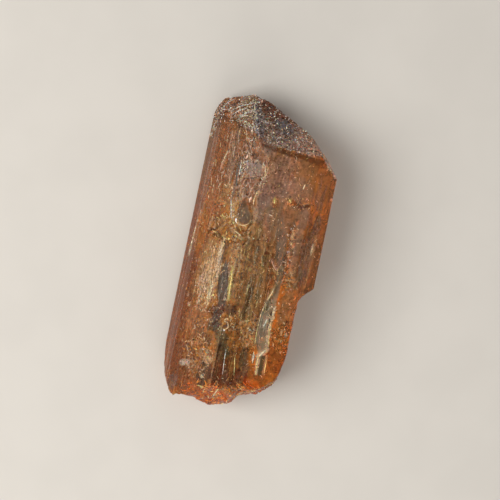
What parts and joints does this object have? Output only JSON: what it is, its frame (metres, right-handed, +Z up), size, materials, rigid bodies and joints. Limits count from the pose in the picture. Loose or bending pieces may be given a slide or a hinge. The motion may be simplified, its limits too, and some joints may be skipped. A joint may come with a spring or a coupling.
{
  "type": "imperial topaz crystal",
  "caption": "Loose striated topaz prism with an etched, chisel-shaped termination at one end and a hackly break at the other, lying on one of its broad faces.",
  "frame": {"origin": "centre of the bounding box seen from above, at the plane of the broad prism face the crystal lies on", "axes": "+Y along the crystal's c axis, from the break to the termination; +Z up, away from the face it lies on"},
  "size_m": [0.0118, 0.03, 0.0077],
  "materials": {
    "topaz": "see-through amber-brown to orange crystal, striated along its length, satin where etched, glassy where broken"
  },
  "bodies": {
    "root": {"topaz_crystal": "topaz"}
  },
  "joints": []
}
